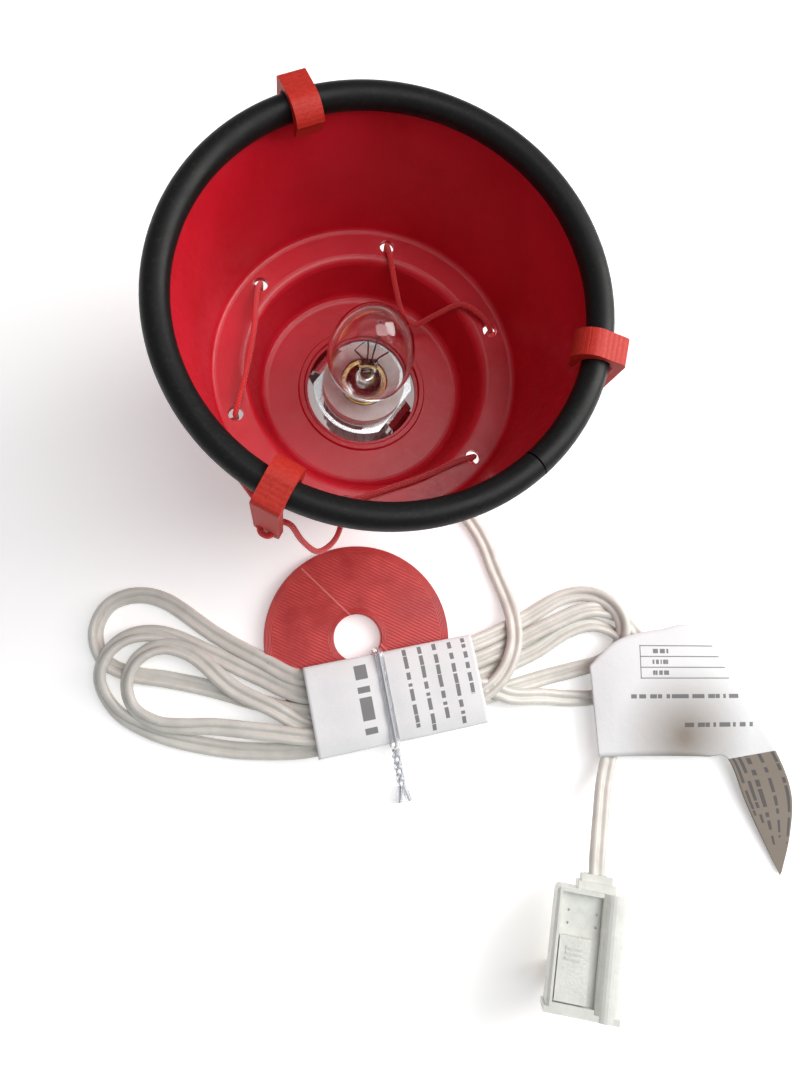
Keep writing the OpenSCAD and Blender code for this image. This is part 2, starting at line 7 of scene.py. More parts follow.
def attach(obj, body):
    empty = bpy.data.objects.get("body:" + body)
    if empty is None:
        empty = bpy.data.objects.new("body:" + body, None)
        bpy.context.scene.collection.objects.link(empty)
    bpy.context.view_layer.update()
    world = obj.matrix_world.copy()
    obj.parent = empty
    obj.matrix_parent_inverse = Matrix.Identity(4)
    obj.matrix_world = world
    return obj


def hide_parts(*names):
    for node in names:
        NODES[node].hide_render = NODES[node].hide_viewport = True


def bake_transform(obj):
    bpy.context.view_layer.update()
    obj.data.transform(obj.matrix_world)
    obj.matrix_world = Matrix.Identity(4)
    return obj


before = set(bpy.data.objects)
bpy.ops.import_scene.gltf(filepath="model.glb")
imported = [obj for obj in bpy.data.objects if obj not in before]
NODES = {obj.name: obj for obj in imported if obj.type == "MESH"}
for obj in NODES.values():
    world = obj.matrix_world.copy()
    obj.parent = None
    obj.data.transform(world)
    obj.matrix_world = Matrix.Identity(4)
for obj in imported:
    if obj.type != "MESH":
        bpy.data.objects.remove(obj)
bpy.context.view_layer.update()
MM = 0.001

# ---------- camera ----------

CAMERA_AT = Vector((-19.58, -82.06, 256.8)) * MM
CAMERA_RIGHT = Vector((0.9898, 0.0, 0.142)).normalized()
CAMERA_FORWARD = Vector((0.14, 0.165, -0.976)).normalized()
CAMERA_LENS = 27.03


def make_camera():
    data = bpy.data.cameras.new("camera")
    data.sensor_fit = "AUTO"
    data.sensor_width = 36
    data.lens = CAMERA_LENS
    data.clip_start = 0.01
    camera = bpy.data.objects.new("camera", data)
    bpy.context.scene.collection.objects.link(camera)
    up = CAMERA_RIGHT.cross(CAMERA_FORWARD)
    right = CAMERA_FORWARD.cross(up)
    turn = Matrix((right, up, -CAMERA_FORWARD)).transposed()
    camera.matrix_world = Matrix.Translation(CAMERA_AT) @ turn.to_4x4()
    bpy.context.scene.camera = camera


make_camera()

# ---------- mesh helpers, in millimetres ----------


def mesh_piece(name, points, faces, uvs=None):
    mesh = bpy.data.meshes.new(name)
    mesh.from_pydata([Vector(p) * MM for p in points], [], faces)
    mesh.update()
    if uvs is not None:
        layer = mesh.uv_layers.new(name="UVMap")
        for loop in mesh.loops:
            layer.data[loop.index].uv = uvs[loop.vertex_index]
    for polygon in mesh.polygons:
        polygon.use_smooth = True
    obj = bpy.data.objects.new(name, mesh)
    bpy.context.scene.collection.objects.link(obj)
    return obj


def dense_path(points, steps):
    """Catmull-Rom through points of any size, with so many steps to each stretch."""
    dense = []
    last = len(points) - 1
    for i in range(last):
        a, b = points[max(i - 1, 0)], points[i]
        c, d = points[i + 1], points[min(i + 2, last)]
        for j in range(steps):
            t = j / steps
            dense.append([0.5 * (2 * q + (r - p) * t + (2 * p - 5 * q + 4 * r - s) * t * t
                                 + (3 * q - p - 3 * r + s) * t ** 3)
                          for p, q, r, s in zip(a, b, c, d)])
    dense.append(list(points[-1]))
    return dense


def smooth_path(points, step):
    """A dense path resampled evenly along its first three values."""
    dense = dense_path(points, 16)
    travelled = [0.0]
    for a, b in zip(dense, dense[1:]):
        travelled.append(travelled[-1] + math.dist(a[:3], b[:3]))
    count = max(2, round(travelled[-1] / step))
    even = []
    k = 0
    for i in range(count + 1):
        s = travelled[-1] * i / count
        while k < len(travelled) - 2 and travelled[k + 1] < s:
            k += 1
        span = max(travelled[k + 1] - travelled[k], 1e-9)
        t = (s - travelled[k]) / span
        even.append([p + (q - p) * t for p, q in zip(dense[k], dense[k + 1])])
    return even


def path_tangents(path):
    last = len(path) - 1
    return [(Vector(path[min(i + 1, last)][:3]) - Vector(path[max(i - 1, 0)][:3])).normalized()
            for i in range(last + 1)]


def carried_sides(tangents, first):
    sides = []
    side = Vector(first)
    for tangent in tangents:
        side = (side - tangent * side.dot(tangent)).normalized()
        sides.append(side)
    return sides


def rolled_sides(path, tangents):
    """Sides level with the ground, turned about the path by its fourth value in degrees."""
    sides = []
    for point, tangent in zip(path, tangents):
        level = tangent.cross(Vector((0, 0, 1))).normalized()
        up = level.cross(tangent)
        roll = math.radians(point[3])
        sides.append(level * math.cos(roll) + up * math.sin(roll))
    return sides


def swept(name, path, sides, section):
    """A closed tube: section is a list of (along the side, across it)."""
    tangents = path_tangents(path)
    count = len(section)
    points, faces, uvs = [], [], []
    length = 0.0
    for i, (point, tangent, side) in enumerate(zip(path, tangents, sides)):
        across = side.cross(tangent)
        if i:
            length += math.dist(point[:3], path[i - 1][:3])
        for k, (a, b) in enumerate(section):
            points.append(Vector(point[:3]) + side * a + across * b)
            uvs.append((length * MM, k / count))
    for i in range(len(path) - 1):
        for k in range(count):
            m = (k + 1) % count
            faces.append((i * count + k, i * count + m, (i + 1) * count + m, (i + 1) * count + k))
    faces.append(tuple(range(count - 1, -1, -1)))
    end = (len(path) - 1) * count
    faces.append(tuple(range(end, end + count)))
    return mesh_piece(name, points, faces, uvs)


def thicken(obj, thickness):
    """Gives an open sheet its thickness, half on each side."""
    modifier = obj.modifiers.new("thickness", "SOLIDIFY")
    modifier.thickness = thickness * MM
    modifier.offset = 0


def round_section(radius, sides):
    return [(radius * math.cos(math.tau * k / sides), radius * math.sin(math.tau * k / sides))
            for k in range(sides)]


# ---------- lead ----------

LEAD_T = 2.6
LEAD_STEP = 1.1
LEAD_FLOOR_GAP = 0.02
NOTCH_AZ = math.radians(-40)


def at_notch(radius, z):
    return (radius * math.cos(NOTCH_AZ), radius * math.sin(NOTCH_AZ), z, 0)


# x, y, height and roll, from the socket to the plug
FROM_SOCKET = [at_notch(8, 7), at_notch(13, 6.4), at_notch(18, 5), at_notch(23, 3.5),
               at_notch(28, 2.4), (26, -21, 1.7, 0), (32, -25, 1.4, 0), (38, -31, 1.4, 0),
               (43, -39, 1.4, 0), (46.5, -48, 1.4, 0), (50, -57, 2.2, 0), (51.5, -65, 5, 0),
               (51, -73, 6.6, 0), (47.5, -81, 7.5, 0), (41.5, -86.8, 8.2, 0)]
PASS_C2 = [(34, -90.5, 8.2, 0), (20, -93.6, 8.2, 0), (4, -97, 8.2, 0), (-11, -100, 7.7, 0)]
LOOP_C = [(-25, -98.6, 6.9, 0), (-40, -97, 5.4, 12), (-49, -96.8, 4.6, 30), (-57, -95.8, 4, 45),
          (-63.9, -91.4, 4, 55), (-66.2, -84.2, 4.4, 55), (-63.6, -77.2, 4.6, 45),
          (-56.4, -73.4, 4.6, 25), (-47, -76.2, 4.6, 10), (-36, -85.5, 4.6, 0),
          (-24, -91.5, 5.85, 0)]
PASS_C1 = [(-11.4, -97.4, 5.85, 0), (4, -95.6, 5.85, 0), (24, -92, 5.85, 0), (40.2, -88.8, 5.7, 0)]
LOOP_ALPHA = [(50, -86, 3.2, 0), (63, -82.4, 1.4, 0), (72.6, -80, 1.4, 15),
              (80.4, -77.8, 1.4, 40), (86.2, -73.4, 2.6, 55), (88, -66.4, 4.2, 55),
              (85, -59.6, 4.2, 45), (78, -55.8, 3, 20), (68.4, -57, 1.9, 8),
              (54, -65, 2.6, 0)]
PASS_A1 = [(37.1, -72.4, 5.7, 0), (22, -75.4, 5.85, 0), (4, -79, 5.85, 0), (-14.5, -82.8, 5.85, 0)]
LOOP_A = [(-28, -77, 2.8, 0), (-42, -69.4, 1.4, 0), (-56, -60, 1.4, 8), (-65.6, -58, 1.4, 30),
          (-73.5, -61.6, 1.4, 50), (-76.5, -69.7, 1.4, 55), (-73.3, -77.8, 1.4, 50),
          (-65.4, -81.6, 1.4, 30), (-55, -83.2, 1.4, 8), (-42, -86, 1.4, 0),
          (-28, -90, 2.2, 0)]
PASS_A2 = [(-12.4, -93.2, 5.7, 0), (4, -90.2, 5.85, 0), (24, -86.2, 5.85, 0), (39.2, -82.8, 5.7, 0)]
LOOP_BETA = [(48, -79.4, 2.9, 0), (60, -74, 1.4, 0), (70, -67.8, 1.4, 10), (79, -65.6, 1.4, 35),
             (86.9, -69.2, 1.4, 55), (89.9, -77.2, 1.4, 55), (86.8, -85.2, 1.4, 50),
             (79, -88.8, 1.4, 30), (70, -89.2, 1.6, 8), (61, -88.6, 3, 0), (50, -88.4, 5.9, 0)]
PASS_B2 = [(39, -85.2, 8.2, 0), (26, -88.6, 8.2, 0), (10, -96, 7.6, 0), (-10.3, -103.4, 5.85, 0)]
LOOP_B = [(-30, -104.4, 2, 0), (-46, -102.2, 1.4, 5), (-59, -98.4, 1.4, 25),
          (-69, -92.6, 1.4, 45), (-74, -83.8, 3.6, 55), (-72.4, -75.8, 4.2, 50),
          (-66, -70.4, 4, 30), (-56, -70, 3.6, 8), (-42, -75.8, 2.6, 0),
          (-28, -82.4, 2.8, 0)]
PASS_B1 = [(-13.4, -88, 5.7, 0), (4, -84.6, 5.85, 0), (22, -80.8, 5.85, 0), (38.1, -77.6, 5.7, 0)]
TO_PLUG = [(52, -71.6, 3.4, 0), (64, -65.8, 3.6, 0), (76, -61, 3.8, 10), (86, -61.8, 1.9, 20),
           (93, -67, 1.4, 15), (95.4, -74, 1.4, 5), (95, -81, 1.4, 0), (92, -89, 1.4, 0),
           (86.8, -98, 2, 0), (81.9, -106.7, 4.6, 0), (77.8, -114.9, 9.2, 0), (74.7, -123, 14, 0),
           (72.4, -129.7, 17.4, 4), (71, -134.3, 19.3, 8), (70, -140, 20.4, 14),
           (69.4, -143.5, 20.7, 14)]
LEAD_ROUTE = (FROM_SOCKET + PASS_C2 + LOOP_C + PASS_C1 + LOOP_ALPHA + PASS_A1 + LOOP_A
              + PASS_A2 + LOOP_BETA + PASS_B2 + LOOP_B + PASS_B1 + TO_PLUG)


def lead_section():
    """Two round cores side by side with a groove between them."""
    r = LEAD_T / 2
    turns = [math.radians(a) for a in range(-150, 151, 25)]
    right = [(r + r * math.cos(a), r * math.sin(a)) for a in turns]
    left = [(-x, -y) for x, y in right]
    return right + left


def rolled_lift(roll):
    """How far a stretch that is rolled so many degrees stands above one that lies flat."""
    return LEAD_T / 2 * abs(math.sin(math.radians(roll)))


def make_lead():
    path = smooth_path([(x, y, z + rolled_lift(roll), roll) for x, y, z, roll in LEAD_ROUTE], LEAD_STEP)
    lying = LEAD_T / 2 + LEAD_FLOOR_GAP
    path = [(x, y, max(z, lying + rolled_lift(roll)), roll) for x, y, z, roll in path]
    lead = swept("lead", path, rolled_sides(path, path_tangents(path)), lead_section())
    length = sum(math.dist(a[:3], b[:3]) for a, b in zip(path, path[1:]))
    return lead, path, length * MM


lead, lead_path, lead_length = make_lead()


# ---------- material helpers ----------


class Paint:
    """One node material round a Principled shader, its textures laid out in object space."""

    def __init__(self, name, colour, roughness=0.5, **values):
        self.material = bpy.data.materials.new(name)
        self.material.use_nodes = True
        self.tree = self.material.node_tree
        self.shader = self.tree.nodes["Principled BSDF"]
        self.coords = self.node("ShaderNodeTexCoord")
        self.height = None
        self.set("Base Color", colour)
        self.set("Roughness", roughness)
        for key, value in values.items():
            self.set(key.replace("_", " "), value)

    def node(self, kind, **settings):
        made = self.tree.nodes.new(kind)
        for key, value in settings.items():
            setattr(made, key, value)
        return made

    def put(self, socket, value):
        if isinstance(value, bpy.types.NodeSocket):
            self.tree.links.new(value, socket)
        elif isinstance(value, (tuple, list)) and len(value) == 3 and len(socket.default_value) == 4:
            socket.default_value = (*value, 1)
        else:
            socket.default_value = value

    def set(self, name, value):
        self.put(self.shader.inputs[name], value)

    def space(self, scale=(1, 1, 1), turn=(0, 0, 0)):
        mapping = self.node("ShaderNodeMapping")
        mapping.inputs["Scale"].default_value = scale
        mapping.inputs["Rotation"].default_value = [math.radians(a) for a in turn]
        self.put(mapping.inputs["Vector"], self.coords.outputs["Object"])
        return mapping.outputs["Vector"]

    def noise(self, scale, detail=3, rough=0.5, space=None):
        made = self.node("ShaderNodeTexNoise")
        made.inputs["Scale"].default_value = scale
        made.inputs["Detail"].default_value = detail
        made.inputs["Roughness"].default_value = rough
        self.put(made.inputs["Vector"], space or self.coords.outputs["Object"])
        return made.outputs["Fac"]

    def layers(self, scale, distortion):
        """Bands stacked along Z."""
        made = self.node("ShaderNodeTexWave", wave_type="BANDS", bands_direction="Z")
        made.inputs["Scale"].default_value = scale
        made.inputs["Distortion"].default_value = distortion
        made.inputs["Detail"].default_value = 1
        made.inputs["Detail Scale"].default_value = 1.5
        self.put(made.inputs["Vector"], self.space())
        return made.outputs["Fac"]

    def math(self, operation, a, b=0.0):
        made = self.node("ShaderNodeMath", operation=operation)
        for socket, value in zip(made.inputs, (a, b)):
            self.put(socket, value)
        return made.outputs[0]

    def fit(self, value, low, high, to_low=0.0, to_high=1.0):
        made = self.node("ShaderNodeMapRange")
        for key, number in zip(("Value", "From Min", "From Max", "To Min", "To Max"),
                               (value, low, high, to_low, to_high)):
            self.put(made.inputs[key], number)
        return made.outputs["Result"]

    def mix(self, share, a, b):
        made = self.node("ShaderNodeMix", data_type="RGBA")
        self.put(made.inputs["Factor"], share)
        self.put(made.inputs[6], a)
        self.put(made.inputs[7], b)
        return made.outputs[2]

    def split(self, vector):
        made = self.node("ShaderNodeSeparateXYZ")
        self.put(made.inputs[0], vector)
        return made.outputs

    def near(self, value, middle, half):
        """1 where the value is within half of the middle."""
        off = self.math("ABSOLUTE", self.math("SUBTRACT", value, middle))
        return self.math("LESS_THAN", off, half)

    def between(self, value, low, high):
        above = self.math("GREATER_THAN", value, low)
        return self.math("MULTIPLY", above, self.math("LESS_THAN", value, high))

    def distance(self, x, y):
        squares = self.math("ADD", self.math("MULTIPLY", x, x), self.math("MULTIPLY", y, y))
        return self.math("SQRT", squares)

    def tone(self, value):
        """The value as a grey."""
        return self.mix(value, (0, 0, 0), (1, 1, 1))

    def edges(self, low, high):
        """Nearer 1 the sharper the outward edge."""
        made = self.node("ShaderNodeNewGeometry")
        return self.fit(made.outputs["Pointiness"], low, high)

    def bump(self, height, depth):
        """Adds relief so many metres deep to what is there."""
        made = self.node("ShaderNodeBump")
        made.inputs["Strength"].default_value = 1
        made.inputs["Distance"].default_value = depth
        self.put(made.inputs["Height"], height)
        if self.height is not None:
            self.put(made.inputs["Normal"], self.height)
        self.height = made.outputs["Normal"]
        self.put(self.shader.inputs["Normal"], self.height)


def show(obj, paint):
    if obj.material_slots:
        for slot in obj.material_slots:
            slot.material = paint.material
    else:
        obj.data.materials.append(paint.material)


# ---------- materials ----------

RED = (0.56, 0.008, 0.022)


def bowl_paint():
    p = Paint("bowl_moulded_red", RED, 0.34, Subsurface_Weight=0.12, Subsurface_Scale=0.003)
    p.set("Subsurface Radius", (1.0, 0.2, 0.1))
    clouds = p.noise(60, 4)
    scuffs = p.noise(900, 6, 0.7, p.space((1, 1, 0.15)))
    # Lighter pink on sharp edges: rubbed wear, and also a painted highlight along the ledge and step
    # edges
    wear_and_edge_highlight = p.math("MULTIPLY", p.edges(0.53, 0.62), p.noise(700, 4))
    base = p.mix(p.fit(clouds, 0.3, 0.7), (0.6, 0.010, 0.028), (0.5, 0.006, 0.016))
    p.set("Base Color", p.mix(p.math("MULTIPLY", wear_and_edge_highlight, 0.5), base, (0.72, 0.07, 0.08)))
    p.set("Roughness", p.fit(scuffs, 0.35, 0.75, 0.28, 0.46))
    p.bump(p.noise(2600, 3), 0.00004)
    p.bump(p.noise(150, 2), 0.00012)
    return p


def tube_paint():
    p = Paint("black_tubing", (0.008, 0.008, 0.008), 0.45, Specular_IOR_Level=0.2)
    dust = p.noise(1100, 5, 0.65)
    p.set("Base Color", p.mix(p.fit(dust, 0.55, 0.8), (0.007, 0.007, 0.007), (0.022, 0.022, 0.021)))
    p.set("Roughness", p.fit(p.noise(140, 4), 0.3, 0.7, 0.36, 0.52))
    p.bump(dust, 0.00003)
    return p


def phenolic_paint():
    p = Paint("white_phenolic", (0.78, 0.77, 0.73), 0.5)
    stain = p.noise(240, 5)
    p.set("Base Color", p.mix(p.fit(stain, 0.45, 0.75), (0.8, 0.79, 0.76), (0.62, 0.6, 0.54)))
    p.bump(p.noise(3000, 3), 0.00003)
    return p


def brass_paint():
    p = Paint("drawn_brass", (0.72, 0.48, 0.16), 0.25, Metallic=1.0)
    tarnish = p.noise(420, 5)
    p.set("Base Color", p.mix(p.fit(tarnish, 0.4, 0.75), (0.78, 0.54, 0.2), (0.42, 0.25, 0.08)))
    p.set("Roughness", p.fit(tarnish, 0.3, 0.7, 0.18, 0.42))
    p.bump(p.layers(1500, 2), 0.00001)
    return p


def steel_paint():
    p = Paint("sprung_steel", (0.72, 0.73, 0.74), 0.22, Metallic=1.0)
    brush = p.noise(900, 5, 0.6, p.space((1, 12, 1), (0, 0, 36)))
    p.set("Base Color", p.mix(brush, (0.58, 0.59, 0.6), (0.82, 0.83, 0.84)))
    p.set("Roughness", p.fit(brush, 0.3, 0.7, 0.14, 0.3))
    p.bump(brush, 0.00001)
    return p


def lace_paint():
    """Braided elastic: strands cross on UV, metres along and turns round."""
    p = Paint("braided_elastic", (0.62, 0.02, 0.03), 0.7, Sheen_Weight=0.4)
    along, around, _ = p.split(p.coords.outputs["UV"])
    crossings_a_metre = 1150
    strands_each_way = 4
    step = p.math("MULTIPLY", along, crossings_a_metre)
    turn = p.math("MULTIPLY", around, strands_each_way)
    one, two = [p.math("SINE", p.math("MULTIPLY", p.math(sign, step, turn), math.tau))
                for sign in ("ADD", "SUBTRACT")]
    weave = p.fit(p.math("MAXIMUM", one, two), 0.0, 1.0)
    p.set("Base Color", p.mix(weave, (0.55, 0.01, 0.014), (0.88, 0.03, 0.035)))
    p.bump(weave, 0.00012)
    return p


def hook_paint():
    """Printed plastic with fine layers stacked along Z."""
    p = Paint("printed_hook_red", (0.5, 0.026, 0.014), 0.5, Specular_IOR_Level=0.3)
    grain = p.noise(1500, 4)
    layers = p.layers(1250, 1.2)
    p.set("Base Color", p.mix(p.fit(grain, 0.35, 0.7), (0.5, 0.026, 0.014), (0.4, 0.015, 0.009)))
    p.set("Roughness", p.fit(layers, 0, 1, 0.45, 0.6))
    p.bump(layers, 0.00003)
    p.bump(grain, 0.00003)
    return p


def ring_paint(centre, inner, outer):
    """Printed disc: outline loops by both rims and slanting lines of infill between them."""
    p = Paint("printed_disc_red", (0.52, 0.03, 0.03), 0.46)
    shifted = p.node("ShaderNodeVectorMath", operation="SUBTRACT")
    p.put(shifted.inputs[0], p.coords.outputs["Object"])
    shifted.inputs[1].default_value = Vector((centre[0], centre[1], 0)) * MM
    x, y, _ = p.split(shifted.outputs[0])
    radius = p.distance(x, y)
    loop_width, line_width = 0.00045, 0.00095
    loops = p.math("SINE", p.math("MULTIPLY", radius, math.tau / loop_width))
    wobble = p.math("MULTIPLY", p.noise(260, 2), 0.0004)
    slant = p.math("ADD", p.math("MULTIPLY", x, 0.42), p.math("MULTIPLY", y, 0.91))
    lines = p.math("SINE", p.math("MULTIPLY", p.math("ADD", slant, wobble), math.tau / line_width))
    by_rim = p.math("MAXIMUM", p.math("LESS_THAN", radius, (inner + 1.9) * MM),
                    p.math("GREATER_THAN", radius, (outer - 2.6) * MM))
    pattern = p.node("ShaderNodeMix", data_type="FLOAT")
    p.put(pattern.inputs[0], by_rim)
    p.put(pattern.inputs[2], lines)
    p.put(pattern.inputs[3], loops)
    ridge = p.fit(pattern.outputs[0], -1, 1)
    patchy = p.fit(p.noise(120, 4), 0.35, 0.7)
    beside_scar = p.math("ADD", p.math("MULTIPLY", x, 0.68), p.math("MULTIPLY", y, 0.73))
    scar = p.near(beside_scar, 0.0035, 0.00025)
    scar = p.math("MULTIPLY", scar, p.math("LESS_THAN", radius, (outer - 1) * MM))
    base = p.mix(p.math("MULTIPLY", ridge, patchy), (0.40, 0.018, 0.02), (0.66, 0.07, 0.06))
    p.set("Base Color", p.mix(p.math("MULTIPLY", scar, 0.45), base, (0.8, 0.3, 0.26)))
    p.set("Roughness", p.fit(patchy, 0, 1, 0.34, 0.55))
    p.bump(ridge, 0.00008)
    return p


def glass_paint(name, roughness=0.0):
    p = Paint(name, (0.98, 0.99, 0.99), roughness, Transmission_Weight=1.0, IOR=1.46)
    p.bump(p.noise(60, 1), 0.00001)
    return p


def wire_paint():
    p = Paint("dark_wire", (0.10, 0.085, 0.075), 0.35, Metallic=0.9)
    p.set("Base Color", p.mix(p.noise(2500, 3), (0.07, 0.06, 0.055), (0.2, 0.16, 0.13)))
    return p


def black_glass_paint():
    p = Paint("black_glass", (0.01, 0.01, 0.012), 0.12)
    p.bump(p.noise(900, 2), 0.00002)
    return p


def solder_paint():
    p = Paint("solder", (0.55, 0.55, 0.56), 0.35, Metallic=1.0)
    p.bump(p.noise(1200, 3), 0.00008)
    return p


def lead_paint():
    p = Paint("white_vinyl_lead", (0.76, 0.745, 0.71), 0.32, Subsurface_Weight=0.2,
              Subsurface_Scale=0.0012, Coat_Weight=0.15)
    p.set("Subsurface Radius", (1.0, 0.9, 0.8))
    hand = p.noise(160, 4)
    specks = p.fit(p.noise(1500, 4, 0.7), 0.66, 0.78)
    clean = p.mix(p.fit(hand, 0.35, 0.7), (0.66, 0.64, 0.595), (0.56, 0.54, 0.495))
    p.set("Base Color", p.mix(p.math("MULTIPLY", specks, 0.25), clean, (0.3, 0.27, 0.22)))
    p.set("Roughness", p.fit(hand, 0.3, 0.7, 0.26, 0.42))
    p.bump(p.noise(1400, 3), 0.00003)
    return p


def plug_paint(name, grain_depth):
    p = Paint(name, (0.80, 0.815, 0.78), 0.36, Subsurface_Weight=0.15, Subsurface_Scale=0.001)
    p.set("Subsurface Radius", (1.0, 0.9, 0.8))
    soft = p.noise(180, 4)
    grime = p.math("MULTIPLY", p.fit(p.noise(700, 5), 0.5, 0.8), 0.3)
    base = p.mix(p.fit(soft, 0.35, 0.7), (0.74, 0.755, 0.71), (0.66, 0.675, 0.63))
    p.set("Base Color", p.mix(grime, base, (0.5, 0.5, 0.45)))
    p.set("Roughness", p.fit(soft, 0.3, 0.7, 0.3, 0.46))
    p.bump(p.noise(1300, 3), grain_depth)
    return p


def any_of(p, parts):
    total = parts[0]
    for part in parts[1:]:
        total = p.math("MAXIMUM", total, part)
    return total


def bar_rows(p, along, across, rows, seed, word):
    """Rows of grey bars that stand for print. Each row is (centre, half height, from, to)."""
    bars = []
    for k, (middle, half, first, last) in enumerate(rows):
        inside = p.math("MULTIPLY", p.near(across, middle, half), p.between(along, first, last))
        words = p.node("ShaderNodeTexNoise", noise_dimensions="1D")
        words.inputs["Scale"].default_value = word
        words.inputs["Detail"].default_value = 0
        p.put(words.inputs["W"], p.math("ADD", along, seed + 3.7 * k))
        bars.append(p.math("MULTIPLY", inside, p.math("GREATER_THAN", words.outputs["Fac"], 0.42)))
    return any_of(p, bars)


INK = (0.06, 0.06, 0.065)
INK_SHARE = 0.8
# Warm grey-brown tone of the painted shade laid on the tag paper
PAINTED_SHADE_TONE = (0.16, 0.12, 0.085)


def paper(p, ink, painted_shade=0.0):
    fibre = p.noise(1800, 5, 0.7)
    base = p.mix(p.fit(fibre, 0.3, 0.7), (0.74, 0.745, 0.755), (0.69, 0.695, 0.705))
    # Painted shade: the paper is darkened towards the warm tone by this share
    base = p.mix(painted_shade, base, PAINTED_SHADE_TONE)
    p.set("Base Color", p.mix(p.math("MULTIPLY", ink, INK_SHARE), base, INK))
    p.set("Roughness", 0.75)
    p.bump(fibre, 0.00003)
    p.bump(p.noise(90, 3), 0.0004)
    return p


def tie_paint():
    """Clear ribbon with a wire showing down its middle. UV is metres along, share across."""
    p = Paint("clear_ribbon", (0.85, 0.87, 0.9), 0.18, Transmission_Weight=0.75, IOR=1.35)
    _, across, _ = p.split(p.coords.outputs["UV"])
    core = p.near(across, 0.5, 0.12)
    p.set("Base Color", p.mix(core, (0.86, 0.88, 0.92), (0.45, 0.47, 0.5)))
    p.set("Transmission Weight", p.fit(core, 0, 1, 0.8, 0.1))
    p.bump(p.noise(500, 3), 0.0001)
    return p


RING_MID = (1.8, -70.4)
RING_HOLE_R, RING_R = 7.35, 28.75
BOWL = bowl_paint()
TUBE = tube_paint()
PHENOLIC = phenolic_paint()
BRASS = brass_paint()
STEEL = steel_paint()
LACE = lace_paint()
HOOK = hook_paint()
RING = ring_paint(RING_MID, RING_HOLE_R, RING_R)
GLASS = glass_paint("lamp_glass")
STEM = glass_paint("stem_glass", 0.05)
WIRE = wire_paint()
BLACK_GLASS = black_glass_paint()
SOLDER = solder_paint()
LEAD = lead_paint()
PLUG = plug_paint("plug_moulded_white", 0.00003)
DOOR = plug_paint("door_textured_white", 0.00012)
TIE = tie_paint()

for paint, names in ((BOWL, ["bowl_shell"]), (TUBE, ["rim_tube"]),
                     (PHENOLIC, ["socket_body", "socket_base"]),
                     (BRASS, ["screw_shell", "centre_contact", "bulb_base", "blade_left",
                              "blade_right", "fuse_contacts"]),
                     (STEEL, ["spring_clip"]), (HOOK, ["hook_1", "hook_2", "hook_3"]),
                     (RING, ["spacer_ring"]), (STEM, ["bulb_stem"]),
                     (WIRE, ["bulb_wires", "bulb_filament"]), (BLACK_GLASS, ["bulb_insulator"]),
                     (SOLDER, ["bulb_tip"]), (PLUG, ["plug_body"]), (DOOR, ["fuse_door"]),
                     (STEM, ["fuses"])):
    for name in names:
        show(NODES[name], paint)

# ---------- lamp glass ----------

GLASS_R, GLASS_TOP, GLASS_WALL = 11.3, 77.6, 0.5
NECK_R, NECK_FOOT, NECK_TOP = 5.2, 35.5, 39.3
GLASS_WIDEST = 57.4


def bezier(a, b, c, d, count):
    return [tuple(p * (1 - t) ** 3 + 3 * q * (1 - t) ** 2 * t + 3 * r * (1 - t) * t ** 2 + s * t ** 3
                  for p, q, r, s in zip(a, b, c, d))
            for t in (i / count for i in range(count + 1))]


def glass_curve(inset):
    wide = GLASS_R - inset
    top = GLASS_TOP - inset
    neck = bezier((NECK_R - inset, NECK_TOP), (5.6 - inset, 43.4), (wide, 47.2),
                  (wide, GLASS_WIDEST), 28)
    dome = bezier((wide, GLASS_WIDEST), (wide, 67.2), (7.4 - inset, top), (0.01, top), 32)
    return neck + dome[1:]


def turned(name, profile, steps):
    """A closed profile of radius and height, revolved about Z."""
    rows = len(profile)
    points = [(r * math.cos(math.tau * k / steps), r * math.sin(math.tau * k / steps), z)
              for k in range(steps) for r, z in profile]
    faces = []
    for k in range(steps):
        this, after = k * rows, (k + 1) % steps * rows
        for i in range(rows):
            j = (i + 1) % rows
            faces.append((this + i, after + i, after + j, this + j))
    return mesh_piece(name, points, faces)


lamp_profile = ([(NECK_R, NECK_FOOT)] + glass_curve(0) + glass_curve(GLASS_WALL)[::-1]
                + [(NECK_R - GLASS_WALL, NECK_FOOT)])
lamp_glass = turned("lamp_glass", lamp_profile, 120)
show(lamp_glass, GLASS)
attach(lamp_glass, "bulb")
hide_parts("bulb_glass")

# ---------- lead on its route ----------

show(lead, LEAD)
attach(lead, "root")
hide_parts("cord_lead", "cord_hank", "cord_tail")

# ---------- laces ----------

HOOK_AZ = [113.5, -11.7, 243]
HOOK_HOLES = [(81.7, 141.7), (-38.3, 21.7), (201.7, 261.7)]
LACE_R = 37.3
RIM_R = 49.2
EYE_R = RIM_R + 4.4
EYE_D = 1.7
EYE_H = 71
LACE_CORD_R = 0.75
LACE_STEP = 0.45
# Share of the turn from the hook to the lace hole, radius and height along an outer strand
STRAND_END = [(1, 41.4, 42.6), (1, 37.8, 42.4), (1, LACE_R, 44.6)]
STRAND_SLACK = [(0.07, RIM_R + 3, 71), (0.24, 51.2, 68.6), (0.45, 52.6, 62), (0.68, 53, 55),
                (0.84, 50.2, 50), (0.95, 46.4, 45.8)] + STRAND_END
STRAND_CLOSE = [(0.07, RIM_R + 2.4, 71), (0.2, 49.6, 69), (0.4, 47.4, 63), (0.65, 46.5, 56),
                (0.84, 46.2, 50), (0.95, 45.4, 45.6)] + STRAND_END


def polar(radius, degrees, z):
    a = math.radians(degrees)
    return (radius * math.cos(a), radius * math.sin(a), z)


def hole(degrees, z):
    return polar(LACE_R, degrees, z)


